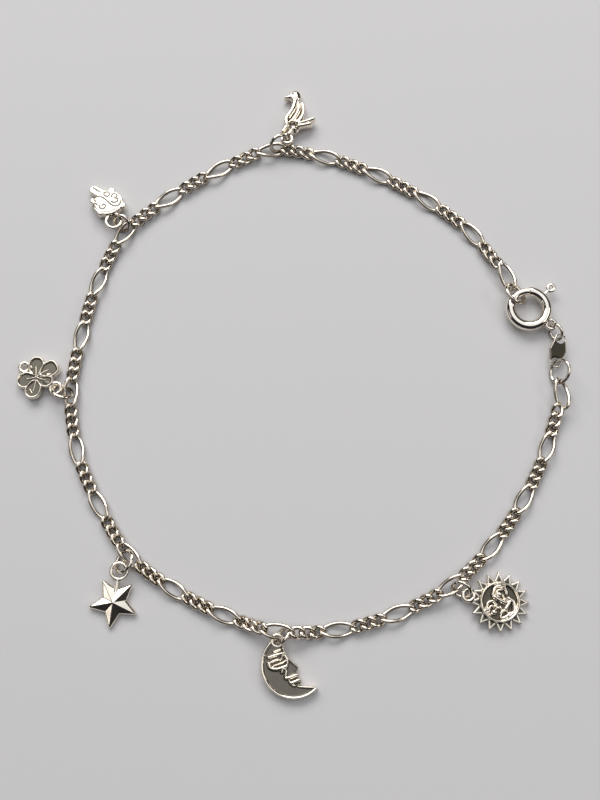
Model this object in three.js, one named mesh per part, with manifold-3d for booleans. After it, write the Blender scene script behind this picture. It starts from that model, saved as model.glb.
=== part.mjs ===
// A silver charm bracelet lying closed on a table: figaro chain, six charms, a bare tag and a spring ring.
// Millimetres. +Z is up from the table, +X and +Y run right and away as seen from where it is looked at.
import * as THREE from "three";
import { mergeVertices } from "three/addons/utils/BufferGeometryUtils.js";
import Module from "manifold-3d";

const kernel = await Module();
kernel.setup();

// The chain: one long link and three short ones, repeated.
const WIRE = 0.21; // radius of its wire
// Centre line of a long link: half its length and width, how square its ends are and its twist.
const LINK = { half: 1.8, side: 0.73, square: 2.5, twist: Math.PI / 4 };
const RUN = { width: 1.5, height: 0.8, clear: 2.12, step: 1.9 }; // a stretch of chain between carrier links
const ROUTE = [
  // x, y of each long link, from the clasp round to the tag
  [24.7, 15.1],
  [20.5, 20.9],
  [14.9, 25.3],
  [8.9, 28.6],
  [2.6, 30.8],
  [-3.6, 31.5],
  [-10.0, 28.9],
  [-15.8, 25.3],
  [-21.2, 20.6],
  [-24.3, 13.9],
  [-25.9, 7.2],
  [-26.7, 0.7],
  [-25.7, -6.1],
  [-23.0, -12.3],
  [-19.2, -18.2],
  [-13.9, -22.1],
  [-8.2, -24.9],
  [-2.5, -26.6],
  [4.3, -26.4],
  [10.7, -24.7],
  [16.9, -21.6],
  [21.3, -17.6],
  [25.3, -12.2],
  [28.4, -6.0],
  [30.4, 0.5],
];

// How each charm hangs. Places are along the chain and outwards from the middle of its carrier link.
// The ring leans by tilt about a level line that is turned from outwards; faces is where the loop points.
const RING_WIRE = 0.22;
const LOOP = { wire: 0.22, z: 0.48 }; // the loop that is cast on a charm, in the charm's own frame
const REST = 0.02; // gap under what lies on the table
const HANGERS = [
  // name, link and its height, ring along and out, radius, tilt, turn, loop along and out and up, faces
  ["bird", 5, 0.71, [-1.14, 0.49], 1.13, 65.7, -68.3, [-2.19, 0.92, 1.32], -108],
  ["turtle", 8, 0.64, [-0.75, 0.95], 0.98, -50.1, 7.8, [-0.37, 1.88, 1.07], -71.4],
  ["flower", 11, 0.62, [-0.01, 0.9], 1.12, 46, -24.3, [-0.51, 1.75, 0.92], -29.5],
  ["star", 14, 0.65, [0.16, 0.83], 1.25, 43.4, 24.4, [0.58, 1.98, 0.88], 81.7],
  ["moon", 17, 1.46, [0.63, 0.38], 0.91, 56.7, -29, [0.1, 0.95, 0.74], 117],
  ["sun", 20, 0.87, [0.66, 0.96], 1.02, 50.9, 24.2, [0.94, 1.89, 0.88], 168.2],
];

// The charms, each in a frame whose +Y points from its middle to its loop. Reach is how far the middle
// of the loop is, back how far the charm goes the other way, loop the radius of the loop.
const STAR = { reach: 3.5, back: 2.95, loop: 0.9, tip: 2.95, notch: 1.4, edge: 0.5, height: 1.08 };
const SUN = { reach: 3.57, back: 3.45, loop: 0.6, rays: 16, tip: 3.45, notch: 2.45, edge: 0.6 };
const SUN_DISC = { radius: 2.3, height: 1 };
const MOON = { reach: 3.44, back: 3.4, loop: 0.62, x: 0.4, y: 0.25, radius: 3.65, height: 0.9, notch: 0.7 };
const FLOWER = { reach: 2.69, back: 2.3, loop: 0.65, height: 0.85 };
const EYELET = { x: -0.37, y: -2.0, radius: 0.55 }; // the sixth petal, which is open
const PETALS = [
  // angle, distance of the middle, radius: the heart, then the petals
  [0, 0, 0.9],
  [18, 1.45, 1.1],
  [100, 1.15, 0.9],
  [152, 1.65, 1.15],
  [212, 1.45, 1.05],
  [313, 1.3, 1.0],
];
const TURTLE = { reach: 2.49, back: 2.6, loop: 0.92, shell: [1.75, 1.85, 1.15] };
const BIRD = { reach: 3.57, back: 3.3, loop: 0.6 };
const NECK = { z: 0.45, radius: 0.28 }; // the stem that joins a charm to its loop

// The clasp: angles in degrees, counted from +X about the middle of the spring ring.
const SPRING = { x: 27.1, y: 10.9, z: 1.06, radius: 2.15, tube: 0.6, bore: 0.5 };
const GAP = { from: 85, to: 141 };
const BOLT = { wire: 0.42, from: 26, to: 145, trigger: 43, travel: 56, stem: 0.16, knob: 0.55, reach: 3.75 };
const SLOT = { height: 0.46, margin: 5, inner: 2.3 };
const CUT = { inner: 0.5, outer: 4, height: 2 }; // what is cut away, well clear of the tube
const EYE = { angle: -38, reach: 3.2, radius: 0.55, wire: 0.2 };
const CLASP_RING = { x: 25.58, y: 12.73, z: 1.19, radius: 1.36, towards: 126, tilt: 41 };
const TAG = { x: 30.28, y: 5.75, z: 0.92, heading: 75, long: 2.1, wide: 1.08, end: 0.55, thick: 0.3 };
const TAG_HOLE = { radius: 0.5, reach: 1.43 };
const TAG_RING = { radius: 0.95, wire: 0.18, tilt: 65 };
const END_RING = { x: 30.29, y: 3.13, z: 1.3, radius: 1.36, wire: 0.2, tilt: 52 };
// The links at the ends of the chain: their heights, and how far the last one turns aside from its ring.
const END_LINKS = { firstZ: 0.9, lastZ: 1.08, turn: 7 };

const SILVER = { color: 0xd8d4cb, metalness: 1 };
const materials = {
  chain: new THREE.MeshStandardMaterial({ ...SILVER, name: "chain_silver", roughness: 0.22 }),
  ring: new THREE.MeshStandardMaterial({ ...SILVER, name: "ring_silver", roughness: 0.18 }),
  charm: new THREE.MeshStandardMaterial({ ...SILVER, name: "charm_silver", color: 0xb9b5aa, roughness: 0.3 }),
  clasp: new THREE.MeshStandardMaterial({ ...SILVER, name: "clasp_silver", roughness: 0.15 }),
  tag: new THREE.MeshStandardMaterial({ ...SILVER, name: "tag_silver", color: 0x9a968c, roughness: 0.2 }),
};

const UP = new THREE.Vector3(0, 0, 1);
const radians = THREE.MathUtils.degToRad;
const level = (degrees) => new THREE.Vector3(Math.cos(radians(degrees)), Math.sin(radians(degrees)), 0);
const laid = new THREE.Group();

// Solids to join or cut, and meshes made from geometry or from such a solid.
function solidOf(geometry) {
  const plain = geometry.index ? geometry.toNonIndexed() : geometry;
  const bare = new THREE.BufferGeometry().setAttribute("position", plain.getAttribute("position"));
  const merged = mergeVertices(bare, 1e-4);
  return new kernel.Manifold(
    new kernel.Mesh({
      numProp: 3,
      vertProperties: merged.attributes.position.array,
      triVerts: new Uint32Array(merged.index.array),
    }),
  );
}

function geometryOf(solid) {
  const made = solid.getMesh();
  const geometry = new THREE.BufferGeometry();
  geometry.setAttribute("position", new THREE.BufferAttribute(made.vertProperties, 3));
  geometry.setIndex(new THREE.BufferAttribute(made.triVerts, 1));
  return geometry;
}

const join = (geometries) => kernel.Manifold.union(geometries.map(solidOf));

function add(name, geometry, material) {
  geometry.computeVertexNormals();
  const mesh = new THREE.Mesh(geometry, material);
  mesh.name = name;
  laid.add(mesh);
  return mesh;
}

// A ring of wire whose level line points towards a direction, leaning by tilt about that line.
function addRing(name, centre, radius, wire, towards, tilt) {
  const across = new THREE.Vector3().crossVectors(UP, towards);
  const rise = across.multiplyScalar(Math.cos(radians(tilt))).addScaledVector(UP, Math.sin(radians(tilt)));
  const axis = new THREE.Vector3().crossVectors(towards, rise);
  const mesh = add(name, new THREE.TorusGeometry(radius, wire, 6, 20), materials.ring);
  mesh.applyMatrix4(new THREE.Matrix4().makeBasis(towards, rise, axis).setPosition(centre));
}

// Geometry that several pieces share.
function ball([x, y, z], [rx, ry, rz], across = 8, rows = 5) {
  return new THREE.SphereGeometry(1, across, rows).scale(rx, ry, rz).translate(x, y, z);
}

function rod(from, to, radius, sides = 6) {
  const a = new THREE.Vector3(...from);
  const b = new THREE.Vector3(...to);
  const along = b.clone().sub(a);
  const upright = new THREE.Vector3(0, 1, 0);
  const turn = new THREE.Quaternion().setFromUnitVectors(upright, along.clone().normalize());
  const geometry = new THREE.CylinderGeometry(radius, radius, along.length(), sides).applyQuaternion(turn);
  return geometry.translate(...a.add(b).multiplyScalar(0.5).toArray());
}

function shapeOf(outline) {
  return new THREE.Shape(outline.map(([x, y]) => new THREE.Vector2(x, y)));
}

function plate(shape, height, bottom = 0) {
  const settings = { depth: height, bevelEnabled: false, curveSegments: 8 };
  return new THREE.ExtrudeGeometry(shape, settings).translate(0, 0, bottom);
}

function castLoop({ reach, loop }) {
  return new THREE.TorusGeometry(loop, LOOP.wire, 6, 16).translate(0, reach, LOOP.z);
}

function neck({ reach, loop }, from) {
  return rod([0, from, NECK.z], [0, reach - loop, LOOP.z], NECK.radius);
}

// The chain's route, and the frame of a carrier link: its middle, along the chain, and outwards.
const route = new THREE.CatmullRomCurve3(ROUTE.map(([x, y]) => new THREE.Vector3(x, y, RUN.height / 2)));

function station(index) {
  const middle = new THREE.Vector3(...ROUTE[index], 0);
  const before = ROUTE[Math.max(index - 1, 0)];
  const after = ROUTE[Math.min(index + 1, ROUTE.length - 1)];
  const along = new THREE.Vector3(after[0] - before[0], after[1] - before[1], 0).normalize();
  const outwards = new THREE.Vector3().crossVectors(along, UP);
  return { middle, along, outwards };
}

// The wire of a long link, along X and twisted a little each way towards its ends.
class LinkCurve extends THREE.Curve {
  getPoint(share) {
    const turn = share * 2 * Math.PI;
    const rounded = (value) => Math.sign(value) * Math.abs(value) ** (2 / LINK.square);
    const along = rounded(Math.cos(turn));
    const side = LINK.side * rounded(Math.sin(turn));
    const lean = LINK.twist * along;
    return new THREE.Vector3(LINK.half * along, side * Math.cos(lean), side * Math.sin(lean));
  }
}

function addLink(name, middle, along) {
  const mesh = add(name, new THREE.TubeGeometry(new LinkCurve(), 20, WIRE, 6, true), materials.chain);
  mesh.rotation.z = Math.atan2(along.y, along.x);
  mesh.position.copy(middle);
}

// A stretch of chain, flat underneath, that stops short of the carrier links at its ends.
function runSection() {
  const tall = RUN.height / 2;
  const wide = RUN.width / 2;
  const bevel = 0.5;
  const corners = [
    [tall, wide * bevel],
    [tall * bevel, wide],
    [-tall * bevel, wide],
    [-tall, wide * bevel],
    [-tall, -wide * bevel],
    [-tall * bevel, -wide],
    [tall * bevel, -wide],
    [tall, -wide * bevel],
  ];
  return shapeOf(corners);
}

function addRun(name, first, last) {
  const points = [];
  const fine = 400;
  const start = route.points[first];
  const end = route.points[last];
  for (let k = 0; k <= fine; k++) {
    const point = route.getPoint((first + ((last - first) * k) / fine) / (ROUTE.length - 1));
    if (point.distanceTo(start) > RUN.clear && point.distanceTo(end) > RUN.clear) points.push(point);
  }
  const path = new THREE.CatmullRomCurve3(points);
  const steps = Math.round(path.getLength() / RUN.step);
  const settings = { steps, bevelEnabled: false, extrudePath: path };
  add(name, new THREE.ExtrudeGeometry(runSection(), settings), materials.chain);
}

// The charms, each as one solid in its own frame.
function starSolid() {
  const rim = [];
  for (let k = 0; k < 10; k++) {
    const angle = radians(54 + 36 * k);
    const radius = k % 2 ? STAR.notch : STAR.tip;
    rim.push([radius * Math.cos(angle), radius * Math.sin(angle)]);
  }
  const middle = [0, 0];
  const corners = [];
  const face = (...points) => corners.push(...points.flat());
  rim.forEach((a, k) => {
    const b = rim[(k + 1) % rim.length];
    face([...b, 0], [...a, 0], [...middle, 0]);
    face([...a, 0], [...b, 0], [...b, STAR.edge]);
    face([...a, 0], [...b, STAR.edge], [...a, STAR.edge]);
    face([...a, STAR.edge], [...b, STAR.edge], [...middle, STAR.height]);
  });
  const body = new THREE.BufferGeometry();
  body.setAttribute("position", new THREE.Float32BufferAttribute(corners, 3));
  return join([body, neck(STAR, 0.7), castLoop(STAR)]);
}

function sunSolid() {
  const rim = [];
  for (let k = 0; k < 2 * SUN.rays; k++) {
    const angle = (Math.PI * k) / SUN.rays;
    const reach = k % 2 ? SUN.tip : SUN.notch;
    rim.push([reach * Math.cos(angle), reach * Math.sin(angle)]);
  }
  const { radius, height } = SUN_DISC;
  const disc = new THREE.CylinderGeometry(radius, radius, height, 32).rotateX(Math.PI / 2);
  disc.translate(0, 0, height / 2);
  return join([plate(shapeOf(rim), SUN.edge), disc, castLoop(SUN)]);
}

function moonSolid() {
  // the outer edge is round; the inner one is a face in profile, from the upper horn to the lower
  const profile = [
    [0.6, 3.3],
    [0.32, 2.45],
    [0.27, 1.5],
    [0.8, -0.05],
    [0.2, -0.52],
    [0.46, -0.9],
    [0.26, -1.16],
    [0.46, -1.54],
    [-0.12, -1.9],
    [1.45, -2.82],
  ];
  const outer = [];
  for (let angle = 290; angle > 95; angle -= 11) {
    const edge = level(angle).multiplyScalar(MOON.radius);
    outer.push([MOON.x + edge.x, MOON.y + edge.y]);
  }
  const body = plate(shapeOf([...outer, ...profile]), MOON.height);
  const notch = new THREE.CylinderGeometry(MOON.notch, MOON.notch, 4, 14).rotateX(Math.PI / 2);
  notch.translate(0, MOON.reach, 0);
  return solidOf(body).subtract(solidOf(notch)).add(solidOf(castLoop(MOON)));
}

function flowerSolid() {
  const petals = PETALS.map(([degrees, spread, radius]) => {
    const along = level(degrees).multiplyScalar(spread);
    const petal = new THREE.CylinderGeometry(radius, radius, FLOWER.height, 14).rotateX(Math.PI / 2);
    return petal.translate(along.x, along.y, FLOWER.height / 2);
  });
  const eyelet = new THREE.TorusGeometry(EYELET.radius, LOOP.wire, 6, 14);
  eyelet.translate(EYELET.x, EYELET.y, LOOP.z);
  return join([...petals, eyelet, neck(FLOWER, 1.2), castLoop(FLOWER)]);
}

function turtleSolid() {
  const [across, along, tall] = TURTLE.shell;
  const limbs = [
    // x, y, radius
    [1.65, -0.8, 0.4],
    [-0.85, -1.5, 0.4],
    [-1.6, 0.95, 0.4],
    [1.45, 1.05, 0.4],
  ];
  const pieces = limbs.map(([x, y, radius]) => ball([x, y, 0.3], [radius, radius, 0.5]));
  pieces.push(ball([0, 0, 0], [across, along, tall], 16, 8));
  pieces.push(ball([0.85, -2.0, 0.4], [0.72, 0.72, 0.55]));
  pieces.push(neck(TURTLE, 1.2), castLoop(TURTLE));
  return join(pieces).trimByPlane([0, 0, 1], 0);
}

function birdSolid() {
  const rods = [
    // from, to, radius: neck, two long feathers, tail, legs
    [[0.6, -1.8, 0.6], [0.5, 0.8, 0.5], 0.32],
    [[0.1, -2.0, 0.6], [-0.5, -0.8, 0.5], 0.3],
    [[-0.5, -0.8, 0.5], [-0.2, 1.1, 0.5], 0.3],
    [[-0.1, -2.1, 0.5], [-1.0, -0.8, 0.45], 0.28],
    [[-1.0, -0.8, 0.45], [-0.6, 1.3, 0.45], 0.28],
    [[-0.6, 1.3, 0.45], [-2.2, -0.2, 0.4], 0.28],
    [[0.6, 1.8, 0.45], [0.8, 2.9, 0.4], 0.3],
    [[-0.3, 2.1, 0.45], [0.1, 3.1, 0.45], 0.34],
  ];
  const balls = [
    // middle, radii: head, beak, breast, belly, haunch, tail ball
    [[0.9, -2.55, 0.55], [0.8, 0.8, 0.55]],
    [[1.6, -1.9, 0.5], [0.42, 0.34, 0.36]],
    [[1.2, 0.85, 0.45], [0.4, 0.4, 0.4]],
    [[0.45, 1.5, 0.45], [0.75, 0.95, 0.5]],
    [[-0.4, 1.95, 0.45], [0.6, 0.6, 0.5]],
    [[-2.0, 0.5, 0.4], [0.32, 0.32, 0.32]],
    [[-1.3, 0.6, 0.35], [0.8, 0.5, 0.3]],
  ];
  const pieces = rods.map(([from, to, radius]) => rod(from, to, radius));
  pieces.push(...balls.map(([middle, radii]) => ball(middle, radii)));
  pieces.push(castLoop(BIRD));
  return join(pieces).trimByPlane([0, 0, 1], 0);
}

// A charm leans just enough for its far edge to rest on the table while its loop is held up by its ring.
function charmFrame({ reach, back }, loopAt, faces) {
  const lean = Math.asin((loopAt.z - LOOP.z - REST) / (back + reach));
  const frame = new THREE.Matrix4().makeRotationZ(radians(faces - 90));
  frame.multiply(new THREE.Matrix4().makeRotationX(lean));
  const loop = new THREE.Vector3(0, reach, LOOP.z).applyMatrix4(frame);
  return frame.setPosition(loopAt.clone().sub(loop));
}

const CHARMS = {
  bird: { size: BIRD, make: birdSolid },
  turtle: { size: TURTLE, make: turtleSolid },
  flower: { size: FLOWER, make: flowerSolid },
  star: { size: STAR, make: starSolid },
  moon: { size: MOON, make: moonSolid },
  sun: { size: SUN, make: sunSolid },
};

function addHanger([name, link, linkZ, ring, radius, tilt, turn, loop, faces]) {
  const { middle, along, outwards } = station(link);
  const at = (t, n, z) =>
    new THREE.Vector3(middle.x, middle.y, z).addScaledVector(along, t).addScaledVector(outwards, n);
  addLink("link_" + name, at(0, 0, linkZ), along);
  const lift = radius * Math.abs(Math.sin(radians(tilt))) + RING_WIRE + REST;
  const towards = outwards.clone().multiplyScalar(Math.cos(radians(turn)));
  towards.addScaledVector(along, Math.sin(radians(turn)));
  addRing("ring_" + name, at(...ring, lift), radius, RING_WIRE, towards, tilt);
  const { size, make } = CHARMS[name];
  const charm = add("charm_" + name, geometryOf(make()), materials.charm);
  charm.applyMatrix4(charmFrame(size, at(...loop), faces));
}

// The clasp and the tag.
function sector(from, to, inner, outer, height) {
  const steps = 8;
  const at = (k, radius) => level(from + ((to - from) * k) / steps).multiplyScalar(radius);
  const outline = [];
  for (let k = 0; k <= steps; k++) outline.push(at(k, outer));
  for (let k = steps; k >= 0; k--) outline.push(at(k, inner));
  return plate(shapeOf(outline.map(({ x, y }) => [x, y])), height, -height / 2);
}

function addSpringRing() {
  const tube = solidOf(new THREE.TorusGeometry(SPRING.radius, SPRING.tube, 8, 28));
  const bore = solidOf(new THREE.TorusGeometry(SPRING.radius, SPRING.bore, 8, 28));
  const gap = solidOf(sector(GAP.from, GAP.to, CUT.inner, CUT.outer, CUT.height));
  const slotEnd = BOLT.trigger - BOLT.travel - SLOT.margin;
  const slot = solidOf(sector(slotEnd, BOLT.trigger + SLOT.margin, SLOT.inner, EYE.reach, SLOT.height));
  const eyeAt = level(EYE.angle).multiplyScalar(EYE.reach);
  const eye = solidOf(new THREE.TorusGeometry(EYE.radius, EYE.wire, 6, 16).translate(eyeAt.x, eyeAt.y, 0));
  const solid = tube.add(eye).subtract(bore).subtract(gap).subtract(slot);
  add("spring_ring", geometryOf(solid), materials.clasp).position.copy(SPRING);
}

class BoltCurve extends THREE.Curve {
  getPoint(share) {
    return level(BOLT.from + (BOLT.to - BOLT.from) * share).multiplyScalar(SPRING.radius);
  }
}

function addBolt() {
  const section = new THREE.Shape().absarc(0, 0, BOLT.wire, 0, 2 * Math.PI, false);
  const settings = { steps: 14, curveSegments: 8, bevelEnabled: false, extrudePath: new BoltCurve() };
  const wire = new THREE.ExtrudeGeometry(section, settings);
  const out = level(BOLT.trigger);
  const knobAt = out.clone().multiplyScalar(BOLT.reach);
  const stem = rod(out.clone().multiplyScalar(SPRING.radius), knobAt, BOLT.stem);
  const knob = ball([knobAt.x, knobAt.y, 0], [BOLT.knob, BOLT.knob, BOLT.knob], 10, 6);
  add("bolt", geometryOf(join([wire, stem, knob])), materials.clasp).position.copy(SPRING);
}

function addTag() {
  const outline = [
    [-TAG.end, -TAG.long],
    [TAG.end, -TAG.long],
    [TAG.wide, 0],
    [TAG.end, TAG.long],
    [-TAG.end, TAG.long],
    [-TAG.wide, 0],
  ];
  const shape = shapeOf(outline);
  for (const y of [-TAG_HOLE.reach, TAG_HOLE.reach]) {
    shape.holes.push(new THREE.Path().absarc(0, y, TAG_HOLE.radius, 0, 2 * Math.PI, true));
  }
  const tag = add("tag", plate(shape, TAG.thick, -TAG.thick / 2), materials.tag);
  tag.rotation.z = radians(TAG.heading - 90);
  tag.position.copy(TAG);
}

function addClasp() {
  addSpringRing();
  addBolt();
  addTag();
  const claspAt = new THREE.Vector3().copy(CLASP_RING);
  addRing("clasp_ring", claspAt, CLASP_RING.radius, RING_WIRE, level(CLASP_RING.towards), CLASP_RING.tilt);

  const eyeAt = new THREE.Vector3(SPRING.x, SPRING.y, 0).addScaledVector(level(EYE.angle), EYE.reach);
  const holeAt = new THREE.Vector3(TAG.x, TAG.y, 0).addScaledVector(level(TAG.heading), TAG_HOLE.reach);
  const middle = eyeAt.clone().add(holeAt).multiplyScalar(0.5);
  middle.z = TAG_RING.radius * Math.sin(radians(TAG_RING.tilt)) + TAG_RING.wire + REST;
  const tagTowards = holeAt.clone().sub(eyeAt).normalize();
  addRing("tag_ring", middle, TAG_RING.radius, TAG_RING.wire, tagTowards, TAG_RING.tilt);

  const endAt = new THREE.Vector3().copy(END_RING);
  const lastLink = new THREE.Vector3(...ROUTE.at(-1), 0);
  const endTowards = lastLink.clone().sub(endAt).setZ(0).normalize();
  addRing("end_ring", endAt, END_RING.radius, END_RING.wire, endTowards, END_RING.tilt);

  const firstLink = new THREE.Vector3(...ROUTE[0], END_LINKS.firstZ);
  addLink("end_link_a", firstLink, firstLink.clone().sub(claspAt).setZ(0).normalize());
  const lastAlong = endTowards.clone().negate().applyAxisAngle(UP, radians(END_LINKS.turn));
  addLink("end_link_b", lastLink.setZ(END_LINKS.lastZ), lastAlong);
}

const carriers = [0, ...HANGERS.map(([, link]) => link), ROUTE.length - 1];
for (let k = 1; k < carriers.length; k++) addRun("chain_run_" + k, carriers[k - 1], carriers[k]);
HANGERS.forEach(addHanger);
addClasp();

// The frame: the middle of the box that holds everything, on the table.
const box = new THREE.Box3().setFromObject(laid, true);
const middle = box.getCenter(new THREE.Vector3());
laid.position.set(-middle.x, -middle.y, -box.min.z);
const bracelet = new THREE.Group();
bracelet.add(laid);

export default bracelet;
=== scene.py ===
import math

import bpy
import numpy as np
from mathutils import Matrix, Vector


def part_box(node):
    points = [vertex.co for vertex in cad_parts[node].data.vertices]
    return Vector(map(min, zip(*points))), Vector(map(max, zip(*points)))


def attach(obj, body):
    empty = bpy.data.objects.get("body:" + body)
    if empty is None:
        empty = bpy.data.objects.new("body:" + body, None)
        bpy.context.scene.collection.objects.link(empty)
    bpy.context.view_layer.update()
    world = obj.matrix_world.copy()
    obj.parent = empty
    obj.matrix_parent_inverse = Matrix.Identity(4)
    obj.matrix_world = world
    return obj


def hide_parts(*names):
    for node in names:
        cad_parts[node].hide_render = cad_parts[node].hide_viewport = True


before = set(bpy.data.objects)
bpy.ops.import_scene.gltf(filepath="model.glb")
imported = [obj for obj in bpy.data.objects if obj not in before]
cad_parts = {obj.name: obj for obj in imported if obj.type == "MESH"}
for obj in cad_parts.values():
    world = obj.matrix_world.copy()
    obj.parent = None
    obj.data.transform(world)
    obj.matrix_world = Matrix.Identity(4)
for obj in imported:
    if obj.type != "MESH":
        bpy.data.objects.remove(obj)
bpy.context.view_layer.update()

MM = 0.001
UP = np.array([0.0, 0.0, 1.0])
ORIGIN = np.zeros(3)

# The chain: one long link and three short ones, repeated.
TWIST = math.radians(45)
CARRIER = {"half": 1.8, "side": 0.73, "square": 2.5, "wire": 0.21}  # a long link that holds a ring
LONG = {"half": 1.95, "side": 0.74, "square": 2.0, "wire": 0.22}
SHORT = {"half": 0.81, "side": 0.57, "square": 2.2, "wire": 0.24}
PITCH = {"carrier": 2.16, "long": 2.3, "short": 1.14}  # each kind of link to the next short one
HEIGHT = {"run": 0.42, "near": 1.5, "far": 4.5}  # on the table; where the way down from a carrier link lies
SWAY = {"roll": 7.0, "yaw": 4.0}  # how unevenly the links lie, in degrees
LINK_MESH = {"fine": 160, "steps": 40, "sides": 12}  # points worked out, points kept, sides of the wire
ROUTE = np.array(
    [
        # x, y of each long link, from the clasp round to the tag
        [24.7, 15.1],
        [20.5, 20.9],
        [14.9, 25.3],
        [8.9, 28.6],
        [2.6, 30.8],
        [-3.6, 31.5],
        [-10.0, 28.9],
        [-15.8, 25.3],
        [-21.2, 20.6],
        [-24.3, 13.9],
        [-25.9, 7.2],
        [-26.7, 0.7],
        [-25.7, -6.1],
        [-23.0, -12.3],
        [-19.2, -18.2],
        [-13.9, -22.1],
        [-8.2, -24.9],
        [-2.5, -26.6],
        [4.3, -26.4],
        [10.7, -24.7],
        [16.9, -21.6],
        [21.3, -17.6],
        [25.3, -12.2],
        [28.4, -6.0],
        [30.4, 0.5],
    ]
)

# Jump rings, and the loops that are cast on the charms.
RING_WIRE = 0.22
RING_MESH = {"steps": 56, "sides": 16}  # points along a ring, sides of its wire
SEAM = {"gap": 0.04, "angle": 1.9}  # where a jump ring is bent shut, in radians from where it points
LOOP = {"wire": 0.22, "z": 0.48}
NECK = {"radius": 0.26, "z": 0.45}
MELT = {"loop": 0.08, "neck": 0.1}  # how far the corners between what is cast as one are filled
REST = 0.02  # gap under what lies on the table

# How each charm hangs, as the part has it.
HANGERS = [
    # name, link and its height, ring along and out, radius, tilt, turn, loop along and out and up, faces
    ("bird", 5, 0.71, (-1.14, 0.49), 1.13, 65.7, -68.3, (-2.19, 0.92, 1.32), -108),
    ("turtle", 8, 0.64, (-0.75, 0.95), 0.98, -50.1, 7.8, (-0.37, 1.88, 1.07), -71.4),
    ("flower", 11, 0.62, (-0.01, 0.9), 1.12, 46, -24.3, (-0.51, 1.75, 0.92), -29.5),
    ("star", 14, 0.65, (0.16, 0.83), 1.25, 43.4, 24.4, (0.58, 1.98, 0.88), 81.7),
    ("moon", 17, 1.46, (0.63, 0.38), 0.91, 56.7, -29, (0.1, 0.95, 0.74), 117),
    ("sun", 20, 0.87, (0.66, 0.96), 1.02, 50.9, 24.2, (0.94, 1.89, 0.88), 168.2),
]
CHARMS = {
    # reach to the middle of the loop, reach the other way, radius of the loop, start of its neck, rounding
    "bird": {"reach": 3.57, "back": 3.3, "loop": 0.6, "neck": None, "round": 0.2},
    "turtle": {"reach": 2.49, "back": 2.6, "loop": 0.92, "neck": 1.2, "round": 0.18},
    "flower": {"reach": 2.69, "back": 2.3, "loop": 0.65, "neck": 1.2, "round": 0.12},
    "star": {"reach": 3.5, "back": 2.95, "loop": 0.9, "neck": 0.9, "round": 0.2},
    "moon": {"reach": 3.44, "back": 3.4, "loop": 0.62, "neck": None, "round": 0.14},
    "sun": {"reach": 3.57, "back": 3.45, "loop": 0.6, "neck": None, "round": 0.12},
}

# The clasp, as the part has it: angles in degrees about the middle of the spring ring.
SPRING = {"at": (27.1, 10.9, 1.06), "radius": 2.15, "tube": 0.6, "bore": 0.5}
GAP = (85, 141)
BOLT = {"wire": 0.42, "from": 26, "to": 145, "trigger": 43, "travel": 56, "stem": 0.17, "reach": 3.75}
KNOB = {"radius": 0.38, "wire": 0.22}  # a ring of wire, where the part has a ball
SLOT = {"height": 0.46, "margin": 5, "inner": 2.3}
EYE = {"angle": -38, "reach": 3.2, "radius": 0.55, "wire": 0.2}
CLASP_RING = {"at": (25.58, 12.73, 1.19), "radius": 1.36, "towards": 126, "tilt": 41}
TAG = {"at": (30.28, 5.75, 0.92), "heading": 75, "long": 2.1, "wide": 1.08, "end": 0.55, "thick": 0.3}
TAG_HOLE = {"radius": 0.5, "reach": 1.43}
TAG_RING = {"radius": 0.95, "wire": 0.18, "tilt": 65}
END_RING = {"at": (30.29, 3.13, 1.3), "radius": 1.36, "wire": 0.2, "tilt": 52}
# The tag's face is painted dark inside its bright bevelled edge: a painted dark reflection.
TAG_RIM = {"bevel": 0.16, "bright": 0.13, "dark": 0.2}  # bevel, end of bright edge, start of dark face
# The links at the ends of the chain: their heights, and how far the last one turns aside from its ring.
END_LINKS = {"first_z": 0.9, "last_z": 1.08, "turn": 7}

# The part was centred on its box after it was laid out; the tag shows by how much.
tag_low, tag_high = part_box("tag")
SHIFT = np.array((tag_low + tag_high) / 2) / MM - np.array(TAG["at"])
SHIFT[2] = 0.0

rng = np.random.default_rng(11)  # for the sway of the links


# Small vector helpers.
def unit(vectors):
    return vectors / np.linalg.norm(vectors, axis=-1, keepdims=True)


def level(degrees):
    return np.array([math.cos(math.radians(degrees)), math.sin(math.radians(degrees)), 0.0])


def spline(points, steps=8):
    """A smooth curve through points, with steps stretches between each two (centripetal Catmull-Rom)."""
    p = np.asarray(points, float)
    p = np.vstack([2 * p[0] - p[1], p, 2 * p[-1] - p[-2]])
    share = np.linspace(0, 1, steps, endpoint=False)[:, None]
    curve = []
    for a, b, c, d in zip(p, p[1:], p[2:], p[3:]):
        before, here, after = (np.linalg.norm(v) ** 0.5 for v in (b - a, c - b, d - c))
        start = ((b - a) / before - (c - a) / (before + here) + (c - b) / here) * here
        end = ((c - b) / here - (d - b) / (here + after) + (d - c) / after) * here
        bend = -3 * b + 3 * c - 2 * start - end
        curve.append(b + share * (start + share * (bend + share * (2 * b - 2 * c + start + end))))
    return np.vstack(curve + [p[-2:-1]])


def even(path, count, closed=True):
    """The same path with count evenly spaced points."""
    loop = np.vstack([path, path[:1]]) if closed else path
    length = np.concatenate([[0], np.cumsum(np.linalg.norm(np.diff(loop, axis=0), axis=1))])
    wanted = np.linspace(0, length[-1], count, endpoint=not closed)
    return np.stack([np.interp(wanted, length, column) for column in loop.T], axis=1)


# Meshes: a piece is its points, quads, normals and how much each point is darkened: by oxide in the hollows
# of the charms, and elsewhere by painted shade on wires and a painted dark reflection on the tag.
def merge(pieces):
    start = np.cumsum([0] + [len(piece[0]) for piece in pieces])
    return (
        np.vstack([piece[0] for piece in pieces]),
        np.vstack([piece[1] + first for piece, first in zip(pieces, start)]),
        np.vstack([piece[2] for piece in pieces]),
        np.concatenate([piece[3] for piece in pieces]),
    )


def carry(piece, turn, place):
    points, quads, normals, oxide_and_shade = piece
    return points @ turn.T + place, quads, normals @ turn.T, oxide_and_shade


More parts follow.
